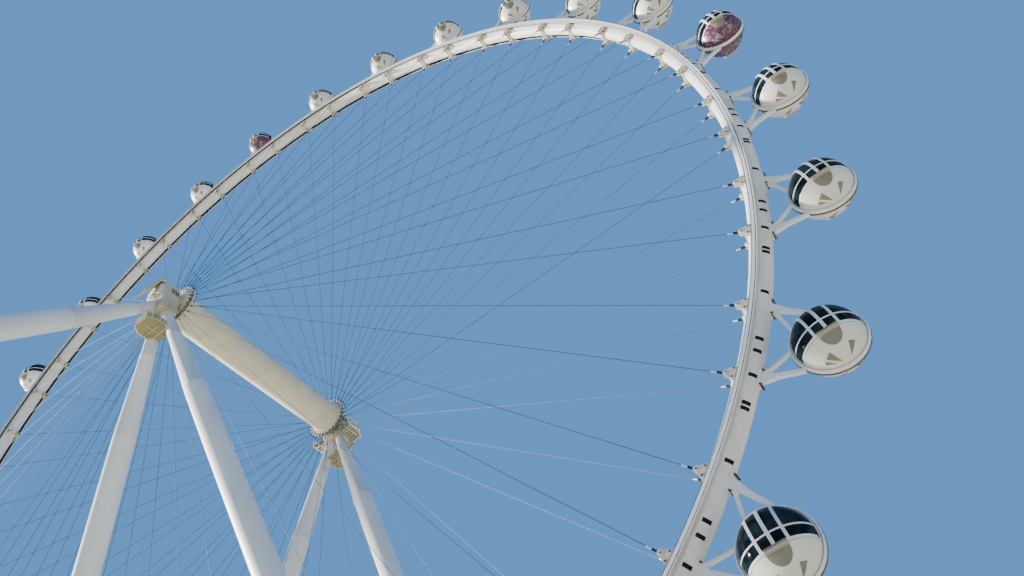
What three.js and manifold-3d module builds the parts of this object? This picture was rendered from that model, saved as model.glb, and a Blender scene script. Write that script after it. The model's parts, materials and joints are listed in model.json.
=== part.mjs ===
// Observation wheel with 28 ball-shaped cabins, as a 1:10 model.
// Lengths are in millimetres of the model, so 100 mm here is 1 m on the full-size wheel.
// +Z is up, the wheel's axle runs along Y and the brace leg reaches out towards -Y.
// The origin is at ground level, in the middle of the footprint.
import * as THREE from "three";
import { mergeVertices } from "three/addons/utils/BufferGeometryUtils.js";
import Module from "manifold-3d";

const wasm = await Module();
wasm.setup();

// Wheel
const hubHeight = 8665;
const cabinCount = 28;
const cabinCircle = 7760;
const restAngle = -50.53;
const pitchAngle = 360 / cabinCount;
const stationShift = 0.2215 * pitchAngle;
const fit = 0.3;
const vast = 10000;

// Rim tube with its running plates, in sections of four bays
const rimRadius = 7161;
const rimTube = 109;
const rimFlatShare = 0.5;
const rimSideShare = 0.94;
const plateReach = 167;
const plateThick = 16;
const plateLift = 22;
const sectionCount = 7;
const stepsPerBay = 2;

// Cable brackets on the inside of the rim
const lugHalf = 104;
const lugWidth = 62;
const lugTipShare = 0.35;
const lugRoot = 7100;
const lugTip = 6985;
const cableOffset = 98;

// Ring that carries each cabin, and its struts
const ringOuter = 316;
const ringHalfWidth = 30;
const ringSides = 12;
const footRadius = 7236;
const footSpread = 352;
const outerStrutAngle = 62;
const outerStrutWidth = 50;
const innerStrutAngle = 20;
const innerStrutWidth = 40;
const strutDepth = 40;

// Cabin
const cabinRadius = 292;
const shellThick = 14;
const ballLatitudes = [-50, -19.5, 20, 55];
const roomLatitudes = [20, 55];
const floorLevel = -115;
const windowBottom = -98;
const jambHalf = 108;
const doorHalf = 92;
const doorTop = 104;
const doorDepth = 150;
const hoopHalfWidth = 26;
const sideCount = 10;
const ringInner = (cabinRadius + fit) / Math.cos(Math.PI / ringSides);

// Hub drum, its flanges and the spoke cables
const drumRadius = 226;
const drumEnd = 1330;
const collarRadius = 262;
const collarLip = 12;
const flangeRadius = 322;
const flangeInner = 1452;
const flangeOuter = 1500;
const stubRadius = 80;
const stubEnd = 1700;
const cableWidth = 8;
const cableSides = 3;
const cableStart = 300;
const cableStartShift = 0.125 * pitchAngle;
const cableStartStagger = 20;
const cableEnd = 6983.5;

// Fixed heads on top of the legs, with the axle's bearing bore
const headInner = 1545;
const headOuter = 1790;
const headRound = 190;
const headHalf = 172;
const headDepth = 400;
const headSegments = 10;
const boreSides = 24;
const boreLead = 50;
const boreSlack = 8;

// Legs, measured at their centre lines; each tapers towards its top
const legRadius = 126;
const legTopRadius = 59;
const legTaper = 1900;
const legSides = 12;
const legOverrun = 0.03;
const legTopX = 32;
const legTopY = 1654;
const legTopDrop = 214;
const legFootX = 2480;
const legFootY = 496;
const braceTopDrop = 114;
const braceFootY = 8533;
const padHalf = 200;
const padHeight = 40;

// Service galleries: a cage between each pair of legs and, at the far end, a deck round the head
const cageDrop = 700;
const cageHalf = 160;
const cageInner = 1540;
const deckDrop = 300;
const deckHalf = 370;
const deckInner = 1536;
const galleryOuter = 1900;
const deckThick = 10;
const railHeight = 120;
const railBar = 10;

// Stepped walks over the heads
const walkHalf = 85;
const walkRail = 105;
const walkPath = [[2000, -250], [1860, 40], [1796, headRound + fit], [1552, headRound + fit]];

const wheelPlaneY = (braceFootY + padHalf - walkPath[0][0]) / 2;

const whitePaint = new THREE.MeshStandardMaterial({ color: 0xe9e6df, roughness: 0.45, metalness: 0.1 });
const cabinPaint = new THREE.MeshStandardMaterial({ color: 0xe4e0d6, roughness: 0.35, metalness: 0.1 });
const cableSteel = new THREE.MeshStandardMaterial({ color: 0x4f6478, roughness: 0.5, metalness: 0.6 });
const galleryPaint = new THREE.MeshStandardMaterial({ color: 0xc9c0a0, roughness: 0.6, metalness: 0.2 });

const radians = THREE.MathUtils.degToRad;

// Solids: closed geometry in, joined or cut solid out
function solid(geometry) {
  const bare = geometry.clone();
  bare.deleteAttribute("normal");
  bare.deleteAttribute("uv");
  const merged = mergeVertices(bare, 1e-3);
  return new wasm.Manifold(new wasm.Mesh({
    numProp: 3,
    vertProperties: new Float32Array(merged.attributes.position.array),
    triVerts: new Uint32Array(merged.index.array),
  }));
}

function joined(solids) {
  return solids.reduce((whole, next) => whole.add(next));
}

function toGeometry(shape) {
  const mesh = shape.getMesh();
  const geometry = new THREE.BufferGeometry();
  geometry.setAttribute("position", new THREE.BufferAttribute(new Float32Array(mesh.vertProperties), 3));
  geometry.setIndex(new THREE.BufferAttribute(new Uint32Array(mesh.triVerts), 1));
  geometry.computeVertexNormals();
  return geometry;
}

function box(x0, x1, y0, y1, z0, z1) {
  const geometry = new THREE.BoxGeometry(x1 - x0, y1 - y0, z1 - z0);
  return geometry.translate((x0 + x1) / 2, (y0 + y1) / 2, (z0 + z1) / 2);
}

// Turned shape about the Y axis from [radius, y] points that close on themselves or on the axis
function turned(points, sides, phase = 0) {
  return new THREE.LatheGeometry(points.map(([r, y]) => new THREE.Vector2(r, y)), sides, phase);
}

function distance(from, to) {
  return Math.hypot(...to.map((value, i) => value - from[i]));
}

// Moves a shape that stands on the origin, along +Y, to one point and turns it towards another
function aimed(geometry, from, to) {
  const direction = new THREE.Vector3(...to).sub(new THREE.Vector3(...from)).normalize();
  const turn = new THREE.Quaternion().setFromUnitVectors(new THREE.Vector3(0, 1, 0), direction);
  return geometry.applyQuaternion(turn).translate(...from);
}

// Tube from one point to another
function tube(from, to, radius, sides) {
  const length = distance(from, to);
  return aimed(new THREE.CylinderGeometry(radius, radius, length, sides).translate(0, length / 2, 0), from, to);
}

// Leg's shaft from its foot up to its tapered top, grown by a margin all round
function legShaft(foot, top, margin) {
  const length = distance(foot, top);
  const full = legRadius + margin;
  const points = [[0, 0], [full, 0], [full, length - legTaper], [legTopRadius + margin, length], [0, length]];
  return solid(aimed(turned(points, legSides), foot, top));
}

// Straight bar in the wheel's plane between two [radial, tangential] points
function planarBar([x0, z0], [x1, z1], width, depth) {
  const length = Math.hypot(x1 - x0, z1 - z0);
  const geometry = new THREE.BoxGeometry(length, depth, width);
  geometry.rotateY(-Math.atan2(z1 - z0, x1 - x0));
  return geometry.translate((x0 + x1) / 2, 0, (z0 + z1) / 2);
}

// Turns a shape that was drawn on the +X radius to its angle on the wheel
function atAngle(geometry, degrees) {
  return geometry.rotateY(-radians(degrees));
}

class RimArc extends THREE.Curve {
  constructor(radius, from, to) {
    super();
    this.radius = radius;
    this.from = radians(from);
    this.to = radians(to);
  }

  getPoint(t, target = new THREE.Vector3()) {
    const angle = this.from + (this.to - this.from) * t;
    return target.set(this.radius * Math.cos(angle), 0, this.radius * Math.sin(angle));
  }
}

// Rim: a tube with a flat running plate on each side, swept along its arc; the plates lie outside its middle
function rimSection() {
  const lower = plateLift - plateThick / 2;
  const upper = plateLift + plateThick / 2;
  const flat = rimTube * rimFlatShare;
  const side = rimTube * rimSideShare;
  const half = [
    [flat, -rimTube], [side, -upper], [side, lower], [plateReach, lower], [plateReach, upper], [side, upper],
    [flat, rimTube],
  ];
  const mirrored = half.map(([x, y]) => [-x, y]).reverse();
  return new THREE.Shape([...half, ...mirrored].map(([x, y]) => new THREE.Vector2(x, y)));
}

// Bracket that takes one near and one far cable
function lug(degrees) {
  const tipWidth = lugWidth * lugTipShare;
  const outline = new THREE.Shape([
    new THREE.Vector2(lugRoot, -lugWidth), new THREE.Vector2(lugRoot, lugWidth),
    new THREE.Vector2(lugTip, tipWidth), new THREE.Vector2(lugTip, -tipWidth),
  ]);
  const geometry = new THREE.ExtrudeGeometry(outline, { depth: lugHalf * 2, bevelEnabled: false });
  return atAngle(geometry.rotateX(Math.PI / 2).translate(0, lugHalf, 0), degrees);
}

// Round disc about a cabin's middle, in the wheel's plane
function cabinDisc(radius, halfWidth, degrees) {
  const points = [[0, -halfWidth], [radius, -halfWidth], [radius, halfWidth], [0, halfWidth]];
  const disc = turned(points, ringSides, Math.PI / ringSides).translate(cabinCircle, 0, 0);
  return solid(atAngle(disc, degrees));
}

// One cabin's ring and its four struts, in the wheel's plane
function cabinFrame(degrees) {
  const onRing = (angle) => [
    cabinCircle - ringInner * Math.cos(radians(angle)), ringInner * Math.sin(radians(angle)),
  ];
  const parts = [cabinDisc(ringOuter, ringHalfWidth, degrees)];
  for (const side of [-1, 1]) {
    const foot = [footRadius, side * footSpread];
    const outerStrut = planarBar(foot, onRing(side * outerStrutAngle), outerStrutWidth, strutDepth);
    const innerStrut = planarBar(foot, onRing(side * innerStrutAngle), innerStrutWidth, strutDepth);
    parts.push(solid(atAngle(outerStrut, degrees)), solid(atAngle(innerStrut, degrees)));
  }
  return joined(parts).subtract(cabinDisc(ringInner, 2 * ringHalfWidth, degrees));
}

// Four bays of rim with their lugs and cabin frames; the section starts half a bay before its first cabin
function wheelSection() {
  const bays = cabinCount / sectionCount;
  const trim = THREE.MathUtils.radToDeg(fit / 2 / (rimRadius - rimTube));
  const path = new RimArc(rimRadius, -pitchAngle / 2 + trim, (bays - 0.5) * pitchAngle - trim);
  const sweep = { steps: bays * stepsPerBay, extrudePath: path, bevelEnabled: false };
  const parts = [solid(new THREE.ExtrudeGeometry(rimSection(), sweep))];
  for (let bay = 0; bay < bays; bay++) {
    parts.push(cabinFrame(bay * pitchAngle));
    parts.push(solid(lug(bay * pitchAngle - stationShift)), solid(lug(bay * pitchAngle + stationShift)));
  }
  return toGeometry(joined(parts));
}

// Point at a radius and an angle on the wheel
function polar(radius, degrees, y) {
  return [radius * Math.cos(radians(degrees)), y, radius * Math.sin(radians(degrees))];
}

// A quarter of one flange with the 14 spoke cables that it anchors; each pair leaves it close together
function spokeFan(side) {
  const cabins = cabinCount / 4;
  const trim = THREE.MathUtils.radToDeg(fit / 2 / collarRadius);
  const from = -pitchAngle / 2 + trim;
  const to = (cabins - 0.5) * pitchAngle - trim;
  const flangeMiddle = (flangeInner + flangeOuter) / 2;
  const halfDeep = (flangeRadius - collarRadius - fit) / 2;
  const halfThick = (flangeOuter - flangeInner) / 2;
  const outline = new THREE.Shape([
    new THREE.Vector2(-halfThick, -halfDeep), new THREE.Vector2(halfThick, -halfDeep),
    new THREE.Vector2(halfThick, halfDeep), new THREE.Vector2(-halfThick, halfDeep),
  ]);
  const path = new RimArc(collarRadius + fit + halfDeep, from, to);
  const plate = new THREE.ExtrudeGeometry(outline, { steps: cabins, extrudePath: path, bevelEnabled: false });
  const parts = [solid(plate.translate(0, side * flangeMiddle, 0))];
  for (let cabin = 0; cabin < cabins; cabin++) {
    for (const turn of [-1, 1]) {
      const startAngle = cabin * pitchAngle + turn * cableStartShift;
      const endAngle = cabin * pitchAngle + turn * stationShift;
      const start = polar(cableStart, startAngle, side * (flangeMiddle - turn * cableStartStagger));
      const end = polar(cableEnd, endAngle, side * cableOffset);
      parts.push(solid(tube(start, end, cableWidth / Math.SQRT2, cableSides)));
    }
  }
  return toGeometry(joined(parts));
}

// Drum with a collar for each flange and a stub axle at each end; its corners match the flanges' corners
function hubDrum() {
  const half = [
    [stubRadius, stubEnd], [stubRadius, flangeOuter + collarLip], [collarRadius, flangeOuter + collarLip],
    [collarRadius, flangeInner - collarLip], [drumRadius, drumEnd],
  ];
  const lower = half.map(([r, y]) => [r, -y]);
  const profile = [[0, -stubEnd], ...lower, ...half.reverse(), [0, stubEnd]];
  return turned(profile, cabinCount, radians(pitchAngle / 2));
}

// Block shape of a head, grown by a margin all round
function headBlock(side, margin) {
  const half = headHalf + margin;
  const round = headRound + margin;
  const outline = new THREE.Shape();
  outline.moveTo(-half, -headDepth - margin);
  outline.lineTo(half, -headDepth - margin);
  outline.lineTo(round, 0);
  outline.absarc(0, 0, round, 0, Math.PI, false);
  outline.closePath();
  const depth = headOuter - headInner + 2 * margin;
  const extrusion = { depth, bevelEnabled: false, curveSegments: headSegments };
  const geometry = new THREE.ExtrudeGeometry(outline, extrusion);
  const start = side > 0 ? headOuter + margin : margin - headInner;
  return solid(geometry.rotateX(Math.PI / 2).translate(0, start, hubHeight));
}

// Fixed head on top of each pair of legs, with the axle's bearing bore
function legHead(side) {
  const radius = (stubRadius + fit) / Math.cos(Math.PI / boreSides);
  const from = headInner - boreLead;
  const to = stubEnd + boreSlack;
  const points = [[0, side * from], [radius, side * from], [radius, side * to], [0, side * to]];
  const bore = turned(side > 0 ? points : points.reverse(), boreSides).translate(0, 0, hubHeight);
  return headBlock(side, 0).subtract(solid(bore));
}

// A pad on the ground with the leg's tube rising from it
function footed(foot, top) {
  const below = foot.map((value, i) => value - (top[i] - value) * legOverrun);
  const pad = box(foot[0] - padHalf, foot[0] + padHalf, foot[1] - padHalf, foot[1] + padHalf, 0, padHeight);
  const underground = box(-vast, vast, -vast, vast, -vast, 0);
  return legShaft(below, top, 0).add(solid(pad)).subtract(solid(underground));
}

// Foot and top of a leg's centre line
function legLine(end, side) {
  return [[side * legFootX, end * legFootY, 0], [side * legTopX, end * legTopY, hubHeight - legTopDrop]];
}

function leg(end, side) {
  return footed(...legLine(end, side)).subtract(headBlock(end, fit));
}

function braceLeg() {
  const top = [0, -legTopY, hubHeight - braceTopDrop];
  const foot = [0, -braceFootY, 0];
  const behindFace = box(-vast, vast, -headOuter - fit, vast, 0, vast);
  return footed(foot, top).subtract(solid(behindFace));
}

// Deck with a guard rail on three sides; the side towards the wheel stays open
function railedDeck(end, half, inner, drop) {
  const level = hubHeight - drop;
  const top = level + railHeight;
  const along = (from, to) => (end > 0 ? [from, to] : [-to, -from]);
  const whole = along(inner, galleryOuter);
  const outerPost = along(galleryOuter - railBar, galleryOuter);
  const innerPost = along(inner, inner + railBar);
  const parts = [
    solid(box(-half, half, ...whole, level, level + deckThick)),
    solid(box(-half, half, ...outerPost, top - railBar, top)),
    solid(box(-railBar / 2, railBar / 2, ...outerPost, level, top)),
  ];
  for (const x of [-half, half - railBar]) {
    parts.push(solid(box(x, x + railBar, ...whole, top - railBar, top)));
    parts.push(solid(box(x, x + railBar, ...outerPost, level, top)));
    parts.push(solid(box(x, x + railBar, ...innerPost, level, top)));
  }
  return joined(parts);
}

// Deck round the far head, with the hangers that carry the cage below it
function headDeck(end) {
  const parts = [railedDeck(end, deckHalf, deckInner, deckDrop)];
  for (const x of [-cageHalf, cageHalf - railBar]) {
    const [bottom, top] = [hubHeight - cageDrop, hubHeight - deckDrop + deckThick];
    parts.push(solid(box(x, x + railBar, galleryOuter - railBar, galleryOuter, bottom, top)));
  }
  return joined(parts).subtract(headBlock(end, fit));
}

function gallery(end) {
  let whole = railedDeck(end, cageHalf, cageInner, cageDrop);
  if (end > 0) {
    whole = whole.add(headDeck(end));
  }
  for (const side of [-1, 1]) {
    whole = whole.subtract(legShaft(...legLine(end, side), fit));
  }
  return whole;
}

// Strip of even height that follows the walk's path, drawn across the wheel's plane
function walkStrip(end, x0, x1, height) {
  const lower = walkPath.map(([y, z]) => new THREE.Vector2(end * y, z));
  const upper = walkPath.map(([y, z]) => new THREE.Vector2(end * y, z + height)).reverse();
  const geometry = new THREE.ExtrudeGeometry(new THREE.Shape([...lower, ...upper]), {
    depth: x1 - x0, bevelEnabled: false,
  });
  return solid(geometry.rotateX(Math.PI / 2).rotateZ(Math.PI / 2).translate(x0, 0, hubHeight));
}

// Stepped walk over a head: a floor between two panelled rails
function walk(end) {
  const floor = walkStrip(end, -walkHalf, walkHalf, deckThick);
  const left = walkStrip(end, -walkHalf, -walkHalf + railBar, walkRail);
  return joined([floor, left, walkStrip(end, walkHalf - railBar, walkHalf, walkRail)]);
}

// Cabin: a ball shell with a solid belly under the floor, four windows and two doorways
function cabinShell() {
  const innerRadius = cabinRadius - shellThick;
  const onBall = (radius, angle) => [radius * Math.cos(radians(angle)), radius * Math.sin(radians(angle))];
  const ballEdge = ballLatitudes.map((angle) => onBall(cabinRadius, angle));
  const outer = [[0, -cabinRadius], ...ballEdge, [0, cabinRadius]];
  const floorEdge = Math.sqrt(innerRadius ** 2 - floorLevel ** 2);
  const roomEdge = roomLatitudes.map((angle) => onBall(innerRadius, angle));
  const inner = [[0, floorLevel], [floorEdge, floorLevel], ...roomEdge, [0, innerRadius]];
  const phase = Math.PI / sideCount;
  const ball = solid(turned(outer, sideCount, phase).rotateX(Math.PI / 2));
  let shell = ball.subtract(solid(turned(inner, sideCount, phase).rotateX(Math.PI / 2)));
  for (const end of [-1, 1]) {
    const [y0, y1] = end > 0 ? [doorDepth, vast] : [-vast, -doorDepth];
    shell = shell.subtract(solid(box(-doorHalf, doorHalf, y0, y1, floorLevel, doorTop)));
    for (const side of [-1, 1]) {
      const [x0, x1] = side > 0 ? [jambHalf, vast] : [-vast, -jambHalf];
      const [w0, w1] = end > 0 ? [hoopHalfWidth, vast] : [-vast, -hoopHalfWidth];
      shell = shell.subtract(solid(box(x0, x1, w0, w1, windowBottom, vast)));
    }
  }
  return toGeometry(shell);
}

const model = new THREE.Group();
model.position.y = wheelPlaneY;

function place(name, geometry, material, parent = model) {
  const mesh = new THREE.Mesh(geometry, material);
  mesh.name = name;
  parent.add(mesh);
  return mesh;
}

const ends = { near: -1, far: 1 };
const sides = { left: -1, right: 1 };

for (const [endName, end] of Object.entries(ends)) {
  place(`head_${endName}`, toGeometry(legHead(end)), whitePaint);
  place(`gallery_${endName}`, toGeometry(gallery(end)), galleryPaint);
  place(`walk_${endName}`, toGeometry(walk(end)), galleryPaint);
  for (const [sideName, side] of Object.entries(sides)) {
    place(`leg_${endName}_${sideName}`, toGeometry(leg(end, side)), whitePaint);
  }
}
place("brace_leg", toGeometry(braceLeg()), whitePaint);

const wheel = new THREE.Group();
wheel.position.z = hubHeight;
model.add(wheel);
const drum = place("hub_drum", hubDrum(), whitePaint, wheel);
drum.rotation.y = -radians(restAngle);

const sectionShape = wheelSection();
for (let i = 0; i < sectionCount; i++) {
  const section = place(`rim_section_${i + 1}`, sectionShape, whitePaint, wheel);
  section.rotation.y = -radians(restAngle + (i * 360) / sectionCount);
}

for (const [endName, end] of Object.entries(ends)) {
  const fanShape = spokeFan(end);
  for (let quarter = 0; quarter < 4; quarter++) {
    const fan = place(`spokes_${endName}_${quarter + 1}`, fanShape, cableSteel, wheel);
    fan.rotation.y = -radians(restAngle + quarter * 90);
  }
}

const cabinShape = cabinShell();
for (let i = 0; i < cabinCount; i++) {
  const angle = radians(restAngle + i * pitchAngle);
  const cabin = place(`cabin_${String(i + 1).padStart(2, "0")}`, cabinShape, cabinPaint, wheel);
  cabin.position.set(cabinCircle * Math.cos(angle), 0, cabinCircle * Math.sin(angle));
}

export default model;
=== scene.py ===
import json
import math

import bmesh
import bpy
from mathutils import Matrix, Vector

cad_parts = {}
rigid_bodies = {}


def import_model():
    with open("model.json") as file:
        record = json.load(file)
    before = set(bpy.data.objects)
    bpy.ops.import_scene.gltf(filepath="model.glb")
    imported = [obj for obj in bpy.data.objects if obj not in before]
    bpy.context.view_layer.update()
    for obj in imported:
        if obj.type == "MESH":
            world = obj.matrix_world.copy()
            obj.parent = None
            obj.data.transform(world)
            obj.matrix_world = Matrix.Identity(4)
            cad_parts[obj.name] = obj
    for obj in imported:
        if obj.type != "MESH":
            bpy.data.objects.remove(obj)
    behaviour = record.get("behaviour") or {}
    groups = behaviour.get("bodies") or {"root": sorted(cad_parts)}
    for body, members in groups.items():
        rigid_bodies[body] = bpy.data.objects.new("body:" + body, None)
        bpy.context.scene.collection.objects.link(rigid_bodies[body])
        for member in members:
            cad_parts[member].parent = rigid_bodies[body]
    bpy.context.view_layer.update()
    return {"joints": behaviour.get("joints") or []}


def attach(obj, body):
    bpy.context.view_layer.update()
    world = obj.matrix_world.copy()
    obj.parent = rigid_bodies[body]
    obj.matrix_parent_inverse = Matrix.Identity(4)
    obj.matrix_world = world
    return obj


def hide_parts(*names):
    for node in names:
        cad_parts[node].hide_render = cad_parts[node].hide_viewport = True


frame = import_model()

# Lengths are metres of the 1:10 model. The wheel turns about an axle along Y.
wheelJoint = next(joint for joint in frame["joints"] if joint["name"] == "wheel_spin")
hub = Vector(wheelJoint["pos_m"])
cabinCentres = [Vector(joint["pos_m"]) for joint in frame["joints"] if joint["parent"] == "wheel"]
cabinCount = len(cabinCentres)
cabinCircle = (cabinCentres[0] - hub).length
bay = 360 / cabinCount
restAngle = math.degrees(math.atan2(cabinCentres[0].z - hub.z, cabinCentres[0].x))
sectionCount = 7
baysPerSection = cabinCount // sectionCount
stationShift = 0.2215 * bay  # each cabin has a cable bracket and a strut foot this far to both sides
ends = (("near", -1), ("far", 1))  # the axle's ends, with their direction along Y


# Camera: on the ground beside the wheel, looking steeply up

camera = {
    "place": (5.20748, -5.12013, 0.17),  # y counts from the wheel's plane
    "yaw": 14.204,
    "pitch": 51.612,
    "roll": -23.17,
    "focalPixels": 736.149,
    "frameWidth": 1024,
    "sensorWidth": 36,
}


def makeCamera():
    yaw, pitch, roll = (math.radians(camera[key]) for key in ("yaw", "pitch", "roll"))
    forward = Vector((-math.sin(yaw) * math.cos(pitch), math.cos(yaw) * math.cos(pitch), math.sin(pitch)))
    level = Vector((math.cos(yaw), math.sin(yaw), 0))
    above = level.cross(forward)
    right = math.cos(roll) * level + math.sin(roll) * above
    up = -math.sin(roll) * level + math.cos(roll) * above
    data = bpy.data.cameras.new("photoCamera")
    data.sensor_width = camera["sensorWidth"]
    data.lens = camera["focalPixels"] / camera["frameWidth"] * camera["sensorWidth"]
    data.clip_start = 0.05
    data.clip_end = 400
    viewer = bpy.data.objects.new("photoCamera", data)
    bpy.context.scene.collection.objects.link(viewer)
    turn = Matrix((right, up, -forward)).transposed().to_4x4()
    x, y, z = camera["place"]
    viewer.matrix_world = Matrix.Translation((x, y + hub.y, z)) @ turn
    bpy.context.scene.camera = viewer


makeCamera()


# Shader building: sockets that take plain maths, and one call for every other node

class Wire:
    def __init__(self, sheet, socket):
        self.sheet = sheet
        self.socket = socket

    def reckon(self, operation, first, second):
        return self.sheet.add("ShaderNodeMath", {"operation": operation}, {0: first, 1: second})

    def __add__(self, other):
        return self.reckon("ADD", self, other)

    def __radd__(self, other):
        return self.reckon("ADD", other, self)

    def __sub__(self, other):
        return self.reckon("SUBTRACT", self, other)

    def __rsub__(self, other):
        return self.reckon("SUBTRACT", other, self)

    def __mul__(self, other):
        return self.reckon("MULTIPLY", self, other)

    def __rmul__(self, other):
        return self.reckon("MULTIPLY", other, self)

    def above(self, level):
        return self.reckon("GREATER_THAN", self, level)


class Sheet:
    def __init__(self, name):
        self.material = bpy.data.materials.new(name)
        self.material.use_nodes = True
        self.tree = self.material.node_tree
        self.tree.nodes.clear()

    def add(self, kind, settings=None, sockets=None, output=0):
        node = self.tree.nodes.new(kind)
        for key, value in (settings or {}).items():
            if key == "stops":
                self.setStops(node.color_ramp, value)
            else:
                setattr(node, key, value)
        for key, value in (sockets or {}).items():
            if isinstance(value, Wire):
                self.tree.links.new(value.socket, node.inputs[key])
            else:
                node.inputs[key].default_value = value
        return Wire(self, node.outputs[output]) if node.outputs else None

    def setStops(self, ramp, stops):
        while len(ramp.elements) < len(stops):
            ramp.elements.new(1)
        for element, (place, shade) in zip(ramp.elements, stops):
            element.position = place
            element.color = (shade, shade, shade, 1)

    def place(self, stretch=(1, 1, 1)):
        spot = self.add("ShaderNodeTexCoord", output=3)
        if stretch == (1, 1, 1):
            return spot
        return self.add("ShaderNodeMapping", {}, {"Vector": spot, "Scale": stretch})

    def noise(self, scale, detail=3, stretch=(1, 1, 1)):
        sockets = {"Vector": self.place(stretch), "Scale": scale, "Detail": detail}
        return self.add("ShaderNodeTexNoise", {}, sockets)

    def ramp(self, wire, stops):
        return self.add("ShaderNodeValToRGB", {"stops": stops}, {0: wire})

    def blend(self, factor, first, second):
        sockets = {0: factor, 6: first, 7: second}
        return self.add("ShaderNodeMix", {"data_type": "RGBA"}, sockets, output=2)

    def finish(self, height=None, bumpDistance=0.002, bumpStrength=0.3, **sockets):
        named = {key.replace("_", " "): value for key, value in sockets.items()}
        if height is not None:
            bump = {"Height": height, "Distance": bumpDistance, "Strength": bumpStrength}
            named["Normal"] = self.add("ShaderNodeBump", {}, bump)
        surface = self.add("ShaderNodeBsdfPrincipled", {}, named)
        self.add("ShaderNodeOutputMaterial", {}, {"Surface": surface})
        return self.material


def colour(red, green, blue):
    return (red, green, blue, 1)


# Weathered paint: broad cloudy tone, thin streaks down the steel and a faint orange-peel surface
def weatheredPaint(name, fresh, worn, roughness=0.4, streak=0.35, grain=60, coat=0.0):
    sheet = Sheet(name)
    broad = sheet.ramp(sheet.noise(1.6, 4), [(0.35, 0), (0.7, 1)])
    runs = sheet.ramp(sheet.noise(7, 5, (1, 1, 0.12)), [(0.48, 0), (0.72, 1)])
    tone = sheet.blend(broad * 0.5, colour(*fresh), colour(*worn))
    grime = colour(*(value * 0.72 for value in worn))
    tone = sheet.blend(runs * streak, tone, grime)
    peel = sheet.noise(grain, 3)
    return sheet.finish(
        height=peel, bumpDistance=0.0015, bumpStrength=0.12, Base_Color=tone,
        Roughness=broad * 0.12 + roughness, Coat_Weight=coat,
    )


def plainMetal(name, light, dark, roughness=0.5, metallic=0.7, grain=40):
    sheet = Sheet(name)
    patches = sheet.noise(grain, 4)
    tone = sheet.blend(sheet.ramp(patches, [(0.35, 0), (0.65, 1)]), colour(*light), colour(*dark))
    return sheet.finish(
        height=patches, bumpDistance=0.001, bumpStrength=0.25, Base_Color=tone,
        Roughness=patches * 0.25 + roughness, Metallic=metallic,
    )


def tintedGlass(name):
    sheet = Sheet(name)
    cloud = sheet.ramp(sheet.noise(9, 2), [(0.4, 0), (0.62, 1)])
    tone = sheet.blend(cloud, colour(0.005, 0.008, 0.012), colour(0.018, 0.034, 0.040))
    return sheet.finish(
        Base_Color=tone, Roughness=0.1, Alpha=0.98, Coat_Weight=0.0, Specular_IOR_Level=0.04,
        height=sheet.noise(4, 1), bumpDistance=0.001, bumpStrength=0.05,
    )


# Slatted grille: fine level ribs, with darker bands between them as painted shade
def slattedGrille(name):
    sheet = Sheet(name)
    light, dark = colour(0.30, 0.27, 0.215), colour(0.15, 0.135, 0.105)
    sockets = {"Vector": sheet.place(), "Scale": 60}
    ribs = sheet.add("ShaderNodeTexWave", {"bands_direction": "Y"}, sockets, output=1)
    tone = sheet.blend(sheet.ramp(ribs, [(0.25, 0), (0.6, 1)]), dark, light)
    return sheet.finish(height=ribs, bumpDistance=0.002, bumpStrength=0.5, Base_Color=tone, Roughness=0.6)


# Wrap of the two coloured cabins: plum ground with scattered lilac rings and dots
def spottedWrap(name):
    sheet = Sheet(name)
    ground = sheet.blend(sheet.noise(5, 3), colour(0.055, 0.010, 0.030), colour(0.12, 0.022, 0.065))
    cells = sheet.add("ShaderNodeTexVoronoi", {}, {"Vector": sheet.place(), "Scale": 21, "Randomness": 0.75})
    dots = 1 - cells.above(0.18)
    rings = cells.above(0.34) - cells.above(0.42)
    tone = sheet.blend(dots, ground, colour(0.48, 0.34, 0.50))
    tone = sheet.blend(rings, tone, colour(0.28, 0.12, 0.24))
    return sheet.finish(
        height=sheet.noise(70, 2), bumpStrength=0.05, Base_Color=tone, Roughness=0.35, Coat_Weight=0.4,
    )


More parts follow.
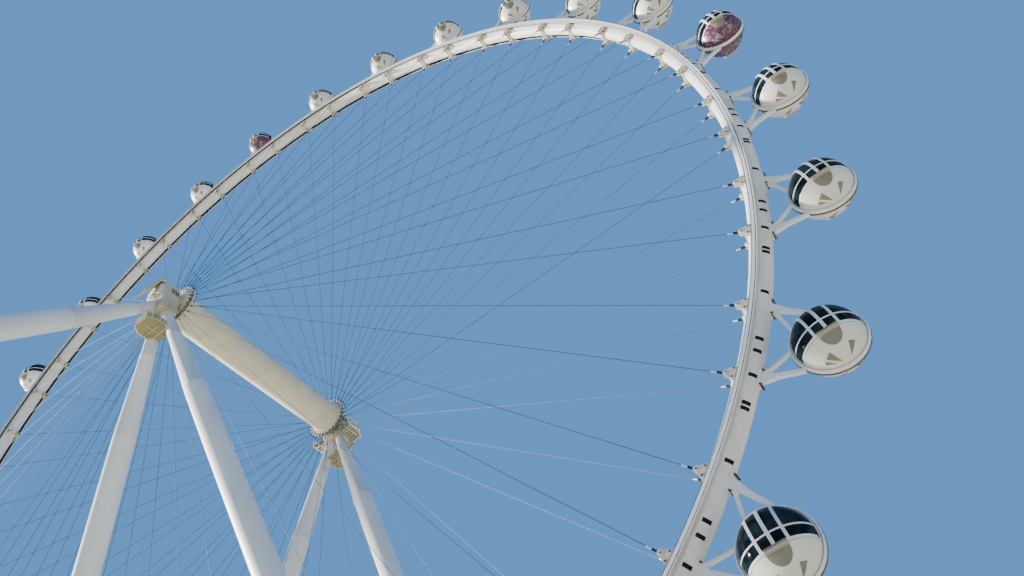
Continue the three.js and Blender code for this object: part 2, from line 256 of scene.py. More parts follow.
# Painted finishes: fresh and worn tone, then roughness, streaks, grain and coat where they differ
paints = {
    "rim": ((0.80, 0.79, 0.75), (0.66, 0.64, 0.58)),
    # The running plates' paint is a greyer copy of the rim's white, as painted shade
    "plate": ((0.62, 0.61, 0.58), (0.48, 0.47, 0.43), 0.5),
    "leg": ((0.78, 0.77, 0.74), (0.68, 0.67, 0.63), 0.38, 0.25),
    # Beige drum paint, partly darkened as painted shade to dull its sunlit edge
    "drum": ((0.72, 0.66, 0.49), (0.62, 0.56, 0.40), 0.55, 0.3),
    "head": ((0.60, 0.55, 0.38), (0.40, 0.37, 0.24), 0.55, 0.6),
    "ball": ((0.80, 0.77, 0.70), (0.72, 0.69, 0.61), 0.3, 0.15, 90, 0.4),
    "trim": ((0.84, 0.83, 0.80), (0.76, 0.75, 0.71), 0.35, 0.1, 90),
    "sill": ((0.46, 0.42, 0.30), (0.38, 0.34, 0.23), 0.5, 0.3),
    # Darker copy of the sill paint, as painted shade on the sill's upper strip; the hub flanges take it too
    # as painted shadow
    "sillShade": ((0.20, 0.18, 0.11), (0.14, 0.125, 0.075), 0.6, 0.3),
    "moon": ((0.235, 0.215, 0.17), (0.18, 0.165, 0.13), 0.65, 0.2),
    "lug": ((0.74, 0.70, 0.58), (0.46, 0.39, 0.25), 0.5, 0.6, 90),
    "access": ((0.56, 0.50, 0.33), (0.36, 0.31, 0.18), 0.6, 0.6),
    # accessShade and oliveShade are darker copies of the access and olive paints, as painted shade on the
    # floors
    "accessShade": ((0.24, 0.21, 0.13), (0.13, 0.115, 0.07), 0.6, 0.5),
    "oliveShade": ((0.30, 0.28, 0.14), (0.19, 0.17, 0.085), 0.6, 0.6),
    "olive": ((0.44, 0.43, 0.22), (0.28, 0.27, 0.13), 0.6, 0.5),
    "panel": ((0.84, 0.82, 0.76), (0.70, 0.67, 0.58), 0.5, 0.3),
    "floor": ((0.30, 0.30, 0.30), (0.22, 0.22, 0.22), 0.6, 0.1),
}

# Metal finishes: light and dark tone, then roughness, metalness and grain
metals = {
    "pin": ((0.20, 0.13, 0.06), (0.10, 0.07, 0.03), 0.5, 0.3),
    "gear": ((0.16, 0.125, 0.07), (0.08, 0.06, 0.035), 0.6, 0.2, 120),
    "cable": ((0.060, 0.100, 0.150), (0.035, 0.060, 0.100), 0.5, 0.4, 90),
    "socket": ((0.66, 0.66, 0.66), (0.46, 0.46, 0.45), 0.4, 0.3),
    "dark": ((0.055, 0.052, 0.050), (0.025, 0.025, 0.025), 0.5, 0.4),
    # Near-black painted shadow inside the rim's slots, under its running plates and under its lips
    "pit": ((0.012, 0.012, 0.012), (0.004, 0.004, 0.004), 0.8, 0.0),
    # Dark steel of the real bolts; the same finish makes thin strips on the rim that are painted shadow lines
    "bolt": ((0.12, 0.11, 0.10), (0.05, 0.045, 0.04), 0.45, 0.6),
}

finishes = {name: weatheredPaint(f"{name}Paint", *values) for name, values in paints.items()}
finishes |= {name: plainMetal(f"{name}Steel", *values) for name, values in metals.items()}
finishes |= {
    "grille": slattedGrille("louvreSlats"),
    "glass": tintedGlass("cabinGlass"),
    "wrap": spottedWrap("cabinWrap"),
}
print("finishes ready:", len(finishes))


# Mesh building. Every shape is closed, and its faces turn outwards when the piece is finished.

def addSweep(bm, sections, finish=0, closed=False, smooth=True):
    rings = [[bm.verts.new(point) for point in section] for section in sections]
    count = len(rings[0])
    made = []
    for i in range(len(rings) if closed else len(rings) - 1):
        near, far = rings[i], rings[(i + 1) % len(rings)]
        for j in range(count):
            k = (j + 1) % count
            made.append(bm.faces.new((near[j], near[k], far[k], far[j])))
    if not closed:
        made.append(bm.faces.new(rings[0]))
        made.append(bm.faces.new(rings[-1][::-1]))
    for face in made:
        face.material_index = finish
        face.smooth = smooth
    return made


def addBox(bm, centre, half, finish=0, turn=None):
    turn = turn or Matrix.Identity(3)
    corners = [(-1, -1), (1, -1), (1, 1), (-1, 1)]
    sections = []
    for z in (-half[2], half[2]):
        sections.append([Vector(centre) + turn @ Vector((x * half[0], y * half[1], z)) for x, y in corners])
    addSweep(bm, sections, finish, smooth=False)


def evenAngles(sides):
    return [2 * math.pi * i / sides for i in range(sides)]


# Points of a circle about a middle, square to a direction
def circleAcross(middle, direction, radius, sides):
    helper = Vector((0, 0, 1)) if abs(direction.z) < 0.9 else Vector((1, 0, 0))
    first = direction.cross(helper).normalized()
    second = direction.cross(first)
    return [middle + (first * math.cos(a) + second * math.sin(a)) * radius for a in evenAngles(sides)]


# Round bar along a line, with [distance, radius] steps where its thickness changes
def addTurned(bm, start, direction, steps, sides=16, finish=0):
    start, direction = Vector(start), Vector(direction).normalized()
    sections = [circleAcross(start + direction * along, direction, radius, sides) for along, radius in steps]
    addSweep(bm, sections, finish)


def addRod(bm, start, end, radius, sides=12, finish=0):
    reach = Vector(end) - Vector(start)
    addTurned(bm, start, reach, [(0, radius), (reach.length, radius)], sides, finish)


# Ring about the Y axis of a centre, from a closed outline of [radius, y] points
def addRing(bm, centre, outline, sides, finish=0):
    sections = []
    for angle in evenAngles(sides):
        outward = Vector((math.cos(angle), 0, math.sin(angle)))
        sections.append([Vector(centre) + outward * r + Vector((0, y, 0)) for r, y in outline])
    addSweep(bm, sections, finish, closed=True)


# Flat plate in the wheel's plane from an outline of [x, z] points
def addPlate(bm, outline, yLow, yHigh, finish=0):
    addSweep(bm, [[Vector((x, y, z)) for x, z in outline] for y in (yLow, yHigh)], finish, smooth=False)


def polar(radius, degrees, y=0.0):
    angle = math.radians(degrees)
    return Vector((radius * math.cos(angle), y, radius * math.sin(angle)))


def turnRound(bm, degrees):
    turn = Matrix.Rotation(-math.radians(degrees), 3, "Y")
    bmesh.ops.rotate(bm, verts=bm.verts, cent=(0, 0, 0), matrix=turn)


def makeMesh(bm, name, finishNames):
    bmesh.ops.recalc_face_normals(bm, faces=bm.faces)
    mesh = bpy.data.meshes.new(name)
    bm.to_mesh(mesh)
    bm.free()
    for finish in finishNames:
        mesh.materials.append(finishes[finish])
    mesh.set_sharp_from_angle(angle=math.radians(38))
    return mesh


def aboutAxle(degrees=0):
    return Matrix.Translation(hub) @ Matrix.Rotation(-math.radians(degrees), 4, "Y")


# The look of one node: a copy of the mesh, moved to its place
def makeLook(node, mesh, place, body):
    copy = mesh.copy()
    copy.name = f"{node}_look"
    copy.transform(place)
    piece = bpy.data.objects.new(copy.name, copy)
    bpy.context.scene.collection.objects.link(piece)
    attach(piece, body)
    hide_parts(node)


# Node tree that repeats a shape round the axle: Count copies, Step degrees apart, in one finish

def makeRepeater():
    tree = bpy.data.node_groups.new("repeatRoundAxle", "GeometryNodeTree")
    face = tree.interface
    face.new_socket("Geometry", in_out="INPUT", socket_type="NodeSocketGeometry")
    inputs = (("Count", "NodeSocketInt"), ("Step", "NodeSocketFloat"), ("Finish", "NodeSocketMaterial"))
    for label, kind in inputs:
        face.new_socket(label, in_out="INPUT", socket_type=kind)
    face.new_socket("Geometry", in_out="OUTPUT", socket_type="NodeSocketGeometry")
    make = tree.nodes.new
    link = tree.links.new
    source, line, stamp, count = (make(kind) for kind in (
        "NodeGroupInput", "GeometryNodeMeshLine", "GeometryNodeInstanceOnPoints", "GeometryNodeInputIndex"))
    multiply, join, realize, paint, out = (make(kind) for kind in (
        "ShaderNodeMath", "ShaderNodeCombineXYZ", "GeometryNodeRealizeInstances", "GeometryNodeSetMaterial",
        "NodeGroupOutput"))
    multiply.operation = "MULTIPLY"
    line.inputs["Offset"].default_value = (0, 0, 0)
    link(source.outputs["Count"], line.inputs["Count"])
    link(line.outputs["Mesh"], stamp.inputs["Points"])
    link(source.outputs["Geometry"], stamp.inputs["Instance"])
    link(count.outputs["Index"], multiply.inputs[0])
    link(source.outputs["Step"], multiply.inputs[1])
    link(multiply.outputs[0], join.inputs["Y"])
    link(join.outputs["Vector"], stamp.inputs["Rotation"])
    link(stamp.outputs["Instances"], realize.inputs["Geometry"])
    link(realize.outputs["Geometry"], paint.inputs["Geometry"])
    link(source.outputs["Finish"], paint.inputs["Material"])
    link(paint.outputs["Geometry"], out.inputs["Geometry"])
    return tree


repeater = makeRepeater()


# Adds Count turned copies of a shape to a growing piece
def addRepeated(bm, shape, count, step, finish, finishNames):
    item = bpy.data.objects.new("item", makeMesh(shape, "item", [finish]))
    bpy.context.scene.collection.objects.link(item)
    modifier = item.modifiers.new("repeat", "NODES")
    modifier.node_group = repeater
    values = {"Count": count, "Step": -math.radians(step), "Finish": finishes[finish]}
    for socket in repeater.interface.items_tree:
        if socket.in_out == "INPUT" and socket.name in values:
            modifier[socket.identifier] = values[socket.name]
    graph = bpy.context.evaluated_depsgraph_get()
    whole = bpy.data.meshes.new_from_object(item.evaluated_get(graph), depsgraph=graph)
    bpy.data.objects.remove(item)
    before = len(bm.faces)
    bm.from_mesh(whole)
    bm.faces.ensure_lookup_table()
    for i in range(before, len(bm.faces)):
        bm.faces[i].material_index = finishNames.index(finish)
    bpy.data.meshes.remove(whole)


# Rim tube with its running plates, slots and weld ribs

rim = {
    "radius": 7.161,
    "tube": 0.109,
    "sides": 26,
    "stepsPerBay": 16,
    "slots": (-0.411, -0.381, -0.2215, -0.077, -0.001, 0.304),  # places along a bay, from its cabin
    "slotHalf": 0.0115,
    "slotCells": (2, 3, 4),  # faces across the tube that a slot takes, counted from its outer crown
    "slotDepth": 0.012,
    "ribs": (-0.45, -0.155, -0.04, 0.06, 0.168, 0.25, 0.375, 0.465),
    "ribHalf": 0.002,
    "ribInner": 0.105,  # a rib's two radii about the middle of the tube
    "ribOuter": 0.1108,
    "ribArc": range(18, 73, 9),  # degrees round the tube, from its outer crown
}

# What runs along each side of the tube: finish and outline, as [rise from its middle, distance from the
# wheel's plane]
runners = (
    # Running plate in the greyer paint: painted shade
    ("plate", ((0.006, 0.098), (0.006, 0.157), (0.018, 0.165), (0.022, 0.165), (0.022, 0.098))),
    # Dark soffit under the running plate: painted shadow
    ("pit", ((-0.014, 0.098), (-0.014, 0.124), (0.000, 0.139), (0.006, 0.139), (0.006, 0.098))),
    # Dark strip at the running plate's edge: painted shadow line
    ("bolt", ((-0.004, 0.136), (-0.004, 0.1505), (0.006, 0.1505), (0.006, 0.136))),
    ("trim", ((-0.042, 0.142), (-0.042, 0.149), (-0.004, 0.152), (-0.004, 0.145))),
    # Thin dark band between the lip and the tube: painted shadow
    ("pit", ((-0.041, 0.139), (-0.041, 0.142), (-0.004, 0.145), (-0.004, 0.142))),
    # Dark strip along the lip's lower edge: painted shadow line
    ("bolt", ((-0.0425, 0.1485), (-0.0425, 0.1505), (-0.0385, 0.1508), (-0.0385, 0.1488))),
)


def rimStations():
    edges = []
    for i in range(baysPerSection):
        for slot in rim["slots"]:
            edges += [i + slot - rim["slotHalf"], i + slot + rim["slotHalf"]]
    even = [-0.5 + k / rim["stepsPerBay"] for k in range(baysPerSection * rim["stepsPerBay"] + 1)]
    kept = [place for place in even if min(abs(place - edge) for edge in edges) > 0.012]
    kept[0], kept[-1] = even[0] + 0.0002, even[-1] - 0.0002
    return sorted(kept + edges)


def rimOutline(place, radius):
    degrees = place * bay
    angles = evenAngles(rim["sides"])
    return [polar(rim["radius"] + radius * math.cos(a), degrees, -radius * math.sin(a)) for a in angles]


def addRimTube(bm, recessShadowFinish):
    places = rimStations()
    faces = addSweep(bm, [rimOutline(place, rim["tube"]) for place in places])
    bmesh.ops.recalc_face_normals(bm, faces=faces)  # so that the slots sink inwards
    edges = [i + slot - rim["slotHalf"] for i in range(baysPerSection) for slot in rim["slots"]]
    sides = rim["sides"]
    mirrored = [sides - 1 - cell for cell in rim["slotCells"]]
    for row, place in enumerate(places[:-1]):
        if min(abs(place - edge) for edge in edges) > 1e-6:
            continue
        for cells in (rim["slotCells"], mirrored):
            patch = [faces[row * sides + cell] for cell in cells]
            bmesh.ops.inset_region(bm, faces=patch, thickness=0.0015, depth=0)
            walls = bmesh.ops.inset_region(bm, faces=patch, thickness=0.0008, depth=-rim["slotDepth"])
            # The slot's walls and floor are painted near black as painted shadow
            for face in patch + walls["faces"]:
                face.material_index = recessShadowFinish


def addRunners(bm, names):
    steps = baysPerSection * rim["stepsPerBay"]
    for finish, outline in runners:
        for side in (-1, 1):
            sections = []
            for k in range(steps + 1):
                degrees = (-0.5 + k / rim["stepsPerBay"]) * bay
                sections.append([polar(rim["radius"] + r, degrees, side * y) for r, y in outline])
            addSweep(bm, sections, names.index(finish), smooth=False)


def addWeldRibs(bm, finish):
    half = math.degrees(rim["ribHalf"] / rim["radius"])
    low, high = rim["ribInner"], rim["ribOuter"]
    rows = [(low, -half), (low, half), (high, half), (high, -half)]
    for i in range(baysPerSection):
        for rib in rim["ribs"]:
            degrees = (i + rib) * bay
            for side in (-1, 1):
                sections = []
                for a in (math.radians(angle) for angle in rim["ribArc"]):
                    sections.append([
                        polar(rim["radius"] + r * math.cos(a), degrees + turn, side * r * math.sin(a))
                        for r, turn in rows])
                addSweep(bm, sections, finish)


# Cable brackets: two rounded plates for each cable with a pin through both

bracket = {
    "pin": 7.015,
    "y": 0.098,
    "gap": 0.0165,  # from the cable's line to the middle of a plate
    "plateHalf": 0.0045,
    "base": 7.116,
    "shoulder": 7.088,
    "baseHalf": 0.062,
    "tipHalf": 0.030,
    "pinRadius": 0.010,
    "tie": (7.078, 0.045, 0.03),  # plates from a lug to the rim's middle plane
    "tieHalf": (0.042, 0.045, 0.005),
    "stay": 7.085,  # plate between the two lugs of a cable
    "boltRise": 0.04,
}


def bracketOutline():
    base, shoulder, wide, slim = (bracket[key] for key in ("base", "shoulder", "baseHalf", "tipHalf"))
    outline = [(base, -wide), (base, wide), (shoulder, wide)]
    for k in range(9):
        angle = math.radians(75 + 210 * k / 8)
        outline.append((bracket["pin"] + slim * math.cos(angle), slim * math.sin(angle)))
    return outline + [(shoulder, -wide)]


# One shape at both cable stations of a cabin
def turnedCopies(make):
    whole = bmesh.new()
    for degrees in (-stationShift, stationShift):
        part = bmesh.new()
        make(part)
        turnRound(part, degrees)
        holder = bpy.data.meshes.new("holder")
        part.to_mesh(holder)
        part.free()
        whole.from_mesh(holder)
        bpy.data.meshes.remove(holder)
    return whole


def bracketPlates(bm):
    for side in (-1, 1):
        for lean in (-1, 1):
            middle = side * bracket["y"] + lean * bracket["gap"]
            addPlate(bm, bracketOutline(), middle - bracket["plateHalf"], middle + bracket["plateHalf"])
        x, y, rise = bracket["tie"]
        for z in (-rise, rise):
            addBox(bm, (x, side * y, z), bracket["tieHalf"])
        addBox(bm, (bracket["stay"], side * bracket["y"], 0), (0.03, bracket["gap"], 0.006))


def bracketPins(bm):
    reach = 2 * bracket["gap"] + 0.026
    radius = bracket["pinRadius"]
    steps = [(0, radius * 0.7), (0.003, radius), (reach - 0.003, radius), (reach, radius * 0.7)]
    for side in (-1, 1):
        addTurned(bm, (bracket["pin"], side * bracket["y"] - side * reach / 2, 0), (0, side, 0), steps, 14)
        for z in (-bracket["boltRise"], bracket["boltRise"]):
            start = (bracket["tie"][0], side * (bracket["y"] + bracket["gap"] + bracket["plateHalf"]), z)
            addTurned(bm, start, (0, side, 0), [(0, 0.009), (0.007, 0.009), (0.009, 0.005)], 6)


def pinWashers(bm):
    for side in (-1, 1):
        for lean in (-1, 1):
            y = side * bracket["y"] + lean * (bracket["gap"] + bracket["plateHalf"])
            steps = [(0, 0.017), (0.003, 0.017), (0.004, 0.015)]
            addTurned(bm, (bracket["pin"], y, 0), (0, lean, 0), steps, 18)


# Cabin rings with struts and bolted feet

ring = {
    "outer": 0.311,
    "inner": 0.2955,
    "halfWidth": 0.030,
    "bevel": 0.004,
    "sides": 96,
    "foot": 7.270,
    "footSpread": 0.352,
    "outerStrut": 62,
    "innerStrut": 20,
    "outerHalf": (0.029, 0.019),  # half the strut's width at its foot and at the ring
    "innerHalf": (0.018, 0.013),
    "strutDepth": 0.020,
    "webHalf": 0.024,
    "footHalf": (0.012, 0.052, 0.070),
    "boltY": (-0.044, -0.015, 0.015, 0.044),
    "boltReach": 0.066,
}

# Corners of the web between a foot's two struts: how far along the outer strut, along the inner strut,
# out of the rim and aside
webCorners = (
    (0, 0, 0, 0.054), (0.13, 0, 0, 0.025), (0.14, 0, 0, -0.016), (0.045, 0.045, 0, 0),
    (0, 0.11, 0, -0.010), (0, 0.09, -0.025, 0), (0, 0, 0, -0.054),
)


def ringOutline():
    low, high, half, bevel = ring["inner"], ring["outer"], ring["halfWidth"], ring["bevel"]
    return [
        (low, -half + bevel), (low + bevel, -half), (high - bevel, -half), (high, -half + bevel),
        (high, half - bevel), (high - bevel, half), (low + bevel, half), (low, half - bevel),
    ]


def cabinRing(bm):
    addRing(bm, (cabinCircle, 0, 0), ringOutline(), ring["sides"])


# Toothed band on the ring's outer face, towards its far edge
def ringGear(bm):
    low, high = ring["outer"] - 0.003, ring["outer"] + 0.0035
    addRing(bm, (cabinCircle, 0, 0), [(low, 0.008), (high, 0.008), (high, 0.026), (low, 0.026)], 72)


# Where a strut of the given half width ends, just outside the ring's inner face
def ringPoint(degrees, side, half):
    reach = ring["inner"] + 0.002 + half
    angle = math.radians(degrees)
    return Vector((cabinCircle - reach * math.cos(angle), 0, side * reach * math.sin(angle)))


# Foot of a strut on the rim's outer crown, with the directions out of the rim and along it
def strutFoot(side):
    degrees = math.degrees(math.asin(side * ring["footSpread"] / ring["foot"]))
    return polar(ring["foot"], degrees), polar(1, degrees), polar(1, degrees + side * 90)


# Flat-sided bar in the wheel's plane with chamfered edges
def addBar(bm, start, end, halves, depth):
    along = (end - start).normalized()
    across = Vector((along.z, 0, -along.x))
    sections = []
    for point, half in ((start, halves[0]), (end, halves[1])):
        corner = 0.3 * min(half, depth)
        wide, deep = half - corner, depth - corner
        rows = [(half, -deep), (half, deep), (wide, depth), (-wide, depth),
                (-half, deep), (-half, -deep), (-wide, -depth), (wide, -depth)]
        sections.append([point + across * x + Vector((0, y, 0)) for x, y in rows])
    addSweep(bm, sections, smooth=False)


def cabinStruts(bm):
    for side in (-1, 1):
        foot, outward, aside = strutFoot(side)
        outerEnd = ringPoint(ring["outerStrut"], side, ring["outerHalf"][1])
        innerEnd = ringPoint(ring["innerStrut"], side, ring["innerHalf"][1])
        addBar(bm, foot, outerEnd, ring["outerHalf"], ring["strutDepth"])
        addBar(bm, foot, innerEnd, ring["innerHalf"], ring["strutDepth"] - 0.002)
        first, second = (outerEnd - foot).normalized(), (innerEnd - foot).normalized()
        web = [foot + first * a + second * b + outward * c + aside * d for a, b, c, d in webCorners]
        addPlate(bm, [(point.x, point.z) for point in web], -ring["webHalf"], ring["webHalf"])
        turn = Matrix((outward, Vector((0, 1, 0)), outward.cross(Vector((0, 1, 0))))).transposed()
        addBox(bm, foot, ring["footHalf"], 0, turn)


def footBolts(bm):
    for side in (-1, 1):
        foot, outward, aside = strutFoot(side)
        for y in ring["boltY"]:
            for reach in (-ring["boltReach"], ring["boltReach"]):
                start = foot + aside * reach + outward * 0.011 + Vector((0, y, 0))
                addTurned(bm, start, outward, [(0, 0.010), (0.012, 0.010), (0.014, 0.006), (0.024, 0.006)], 6)


def buildRimSection():
    names = ["rim", "plate", "pit", "trim", "lug", "pin", "gear", "bolt"]
    bm = bmesh.new()
    addRimTube(bm, names.index("pit"))
    addRunners(bm, names)
    addWeldRibs(bm, names.index("rim"))
    repeated = [
        (turnedCopies(bracketPlates), "lug"), (turnedCopies(bracketPins), "pin"),
        (turnedCopies(pinWashers), "trim"),
    ]
    for make, finish in ((cabinRing, "trim"), (ringGear, "gear"), (cabinStruts, "trim"), (footBolts, "bolt")):
        shape = bmesh.new()
        make(shape)
        repeated.append((shape, finish))
    for shape, finish in repeated:
        addRepeated(bm, shape, baysPerSection, bay, finish, names)
    return makeMesh(bm, "rimSection", names)


sectionMesh = buildRimSection()
for i in range(sectionCount):
    place = aboutAxle(restAngle + i * 360 / sectionCount)
    makeLook(f"rim_section_{i + 1}", sectionMesh, place, "wheel")
print("rim sections made, faces each:", len(sectionMesh.polygons))


# Spoke cables with their forks, sockets and the flange that they fan out from

spoke = {
    "cableRadius": 0.003,
    "flangeY": 1.476,
    "flangeHalf": 0.013,
    "flangeInner": 0.2625,
    "flangeOuter": 0.302,
    "start": 0.30,
    "startShift": 0.125 * bay,  # the two cables of a cabin leave the flange this far to both sides of it
    "startStagger": 0.028,  # one on the flange's outer face, one on its inner face
    "socketRadius": 0.0068,
    "socketLength": 0.060,
    "forkLength": 0.070,
    "finRadius": 0.0075,
    "finInner": -0.040,
    "finOuter": 0.026,
    "barrelRadius": 0.0075,
    "barrelOuter": 0.056,
}


def cableEnds(side, turn):
    y = side * (spoke["flangeY"] - turn * spoke["startStagger"])
    inner = polar(spoke["start"], turn * spoke["startShift"], y)
    outer = polar(bracket["pin"], turn * stationShift, side * bracket["y"])
    return inner, outer, (outer - inner).normalized()


# Both cables of one cabin, from the same maker
def cablePair(side, make):
    bm = bmesh.new()
    for turn in (-1, 1):
        make(bm, *cableEnds(side, turn))
    return bm


def cableRod(bm, inner, outer, along):
    tail = spoke["forkLength"] + spoke["socketLength"] - 0.01
    addRod(bm, inner + along * 0.03, outer - along * tail, spoke["cableRadius"], 6)


def rimSocket(bm, inner, outer, along):
    r, length = spoke["socketRadius"], spoke["socketLength"]
    steps = [(0, r * 0.55), (0.012, r), (length - 0.006, r), (length, r * 0.8)]
    addTurned(bm, outer - along * (spoke["forkLength"] + length), along, steps, 10)


# Pale fin on the flange, and the adjusting barrel that leaves it, dark as painted shade
def hubFin(bm, inner, outer, along):
    r, low, high = spoke["finRadius"], spoke["finInner"], spoke["finOuter"]
    addTurned(bm, inner, along, [(low, r * 0.7), (low + 0.006, r), (high, r)], 10)


def hubBarrel(bm, inner, outer, along):
    r, low, high = spoke["barrelRadius"], spoke["finOuter"] - 0.002, spoke["barrelOuter"]
    addTurned(bm, inner, along, [(low, r), (high * 0.7, r), (high, r * 0.45)], 10)


def rimFork(bm, inner, outer, along):
    across = (Vector((0, 1, 0)) - along * along.y).normalized()
    turn = Matrix((along, across, along.cross(across))).transposed()
    half = spoke["forkLength"] / 2 + 0.006
    middle = outer + along * (0.012 - half)
    for offset in (-0.0065, 0.0065):
        addBox(bm, middle + across * offset, (half, 0.0025, 0.0085), 0, turn)
    addBox(bm, outer - along * spoke["forkLength"], (0.008, 0.009, 0.0085), 0, turn)


def addFlangeQuarter(bm, side, finish):
    cabins = cabinCount // 4
    y, half = side * spoke["flangeY"], spoke["flangeHalf"]
    low, high = spoke["flangeInner"], spoke["flangeOuter"]
    steps = cabins * 4
    rows = [(-0.5 + 0.002 / bay + k * (cabins - 0.004 / bay) / steps) * bay for k in range(steps + 1)]
    outline = [(low, y - half), (high, y - half), (high, y + half), (low, y + half)]
    addSweep(bm, [[polar(r, degrees, level) for r, level in outline] for degrees in rows], finish)


def buildSpokeFan(side):
    names = ["sillShade", "dark", "cable", "socket", "trim"]
    bm = bmesh.new()
    # The flange plate takes the dark sill copy, as painted shadow between the fins
    addFlangeQuarter(bm, side, names.index("sillShade"))
    for make, finish in ((cableRod, "cable"), (rimSocket, "socket"), (hubFin, "trim"), (hubBarrel, "dark"),
                         (rimFork, "dark")):
        addRepeated(bm, cablePair(side, make), cabinCount // 4, bay, finish, names)
    return makeMesh(bm, "spokeFan", names)


for endName, side in ends:
    fanMesh = buildSpokeFan(side)
    for quarter in range(4):
        place = aboutAxle(restAngle + quarter * 90)
        makeLook(f"spokes_{endName}_{quarter + 1}", fanMesh, place, "wheel")
print("spoke fans made")


# Hub drum

drum = {
    "radius": 0.226,
    "collar": 0.262,
    "stub": 0.078,
    "sides": 96,
    "bolts": 36,  # on the inner face of each collar
    "boltCircle": 0.245,
    "boltY": 1.448,
}


def drumProfile():
    r = drum["radius"]
    half = [(0.0, 1.70), (drum["stub"], 1.70), (drum["stub"], 1.53), (0.15, 1.525), (0.15, 1.508),
            (drum["collar"], 1.505), (drum["collar"], 1.447), (r, 1.440)]
    half += [(r, 1.20), (r - 0.0015, 1.199), (r - 0.0015, 1.196), (r, 1.195)]
    half += [(r, 0.45), (r - 0.0015, 0.449), (r - 0.0015, 0.446), (r, 0.445)]
    return half + [(radius, -y) for radius, y in reversed(half)]


def buildDrum():
    bm = bmesh.new()
    points = [(max(r, 0.0005), y) for r, y in drumProfile()]
    sections = []
    for radius, y in points:
        angles = evenAngles(drum["sides"])
        sections.append([Vector((radius * math.cos(a), y, radius * math.sin(a))) for a in angles])
    addSweep(bm, sections)
    for side in (-1, 1):
        for i in range(drum["bolts"]):
            middle = polar(drum["boltCircle"], i * 360 / drum["bolts"], side * drum["boltY"])
            addTurned(bm, middle, (0, -side, 0), [(0, 0.006), (0.010, 0.006)], 6)
    return makeMesh(bm, "hubDrum", ["drum"])


makeLook("hub_drum", buildDrum(), aboutAxle(), "wheel")
print("hub drum made")


# Legs: tubes with weld seams, foot collars and base plates

leg = {
    "radius": 0.126,
    "topRadius": 0.059,
    "taper": 1.9,
    "topX": 0.032,
    "topY": 1.654,
    "topDrop": 0.214,
    "footX": 2.48,
    "footY": 0.496,
    "braceDrop": 0.114,
    "braceFoot": 8.533,
    "padHalf": 0.2,
    "padHigh": 0.04,
    "sides": 64,
    "seamGap": 1.1,
    "seamFirst": 0.45,  # from the foot
    "seamLast": 0.5,  # from the top
    "seamHalf": 0.002,
    "finOut": 0.145,  # fins round the foot
    "finUp": 0.07,
    "finHalf": (0.035, 0.006, 0.035),
    "boltOut": 0.165,
}


def legPoints(name):
    if name == "brace_leg":
        return Vector((0, -leg["braceFoot"], -hub.z)), Vector((0, -leg["topY"], -leg["braceDrop"]))
    end = -1 if "near" in name else 1
    side = -1 if "left" in name else 1
    foot = Vector((side * leg["footX"], end * leg["footY"], -hub.z))
    return foot, Vector((side * leg["topX"], end * leg["topY"], -leg["topDrop"]))


# Where a level plane cuts the tube
def levelSection(centre, along, radius, level):
    circle = circleAcross(centre, along, radius, leg["sides"])
    return [spot + along * ((level - spot.z) / along.z) for spot in circle]


# Radius at a distance from the top: it narrows over the tapered top stretch
def legRadius(fromTop):
    share = min(1.0, fromTop / leg["taper"])
    return leg["topRadius"] + (leg["radius"] - leg["topRadius"]) * share


def buildLeg(name):
    foot, top = legPoints(name)
    along = (top - foot).normalized()
    length = (top - foot).length
    bm = bmesh.new()
    sections = [levelSection(foot, along, leg["radius"], -hub.z + leg["padHigh"] * 0.5)]
    at = leg["seamFirst"]
    seam = leg["seamHalf"]
    while at < length - leg["seamLast"]:
        for shift, depth in ((-seam, 0), (-seam * 0.4, seam * 0.5), (seam * 0.4, seam * 0.5), (seam, 0)):
            radius = legRadius(length - at) + depth
            sections.append(circleAcross(foot + along * (at + shift), along, radius, leg["sides"]))
        at += leg["seamGap"]
    sections.append(circleAcross(top, along, leg["topRadius"], leg["sides"]))
    addSweep(bm, sections)
    padHalf, high = leg["padHalf"], leg["padHigh"]
    addBox(bm, foot + Vector((0, 0, high / 2)), (padHalf, padHalf, high / 2))
    for k in range(8):
        angle = math.radians(k * 45 + 22.5)
        outward = Vector((math.cos(angle), math.sin(angle), 0))
        turn = Matrix((outward, Vector((-outward.y, outward.x, 0)), Vector((0, 0, 1)))).transposed()
        addBox(bm, foot + outward * leg["finOut"] + Vector((0, 0, leg["finUp"])), leg["finHalf"], 0, turn)
    places = (-leg["boltOut"], 0, leg["boltOut"])
    steps = [(0, 0.014), (0.012, 0.014), (0.016, 0.009), (0.03, 0.008)]
    for x in places:
        for y in places:
            if x or y:
                addTurned(bm, foot + Vector((x, y, high)), (0, 0, 1), steps, 8, 1)
    return makeMesh(bm, name, ["leg", "bolt"])


legNames = [f"leg_{end}_{side}" for end in ("near", "far") for side in ("left", "right")] + ["brace_leg"]
for name in legNames:
    makeLook(name, buildLeg(name), aboutAxle(), "stand")
print("legs made")


# Heads: rounded castings that carry the axle's bearings

head = {
    "inner": 1.545,
    "outer": 1.790,
    "round": 0.190,
    "half": 0.172,
    "depth": 0.40,
    "bevel": 0.028,
    "cap": [(0, 0.140), (0.010, 0.140), (0.014, 0.134)],  # cover plate over the bearing
    "capRib": 0.128,
    "flankRibs": (1.585, 1.64, 1.695, 1.75),
    "slats": (1.60, 1.63, 1.66, 1.69),
}


def headOutline(inset):
    half, crown = head["half"] - inset, head["round"] - inset
    points = [(-half, -head["depth"] + inset), (half, -head["depth"] + inset)]
    for k in range(25):
        angle = math.radians(180 * k / 24)
        points.append((crown * math.cos(angle), crown * math.sin(angle)))
    return points


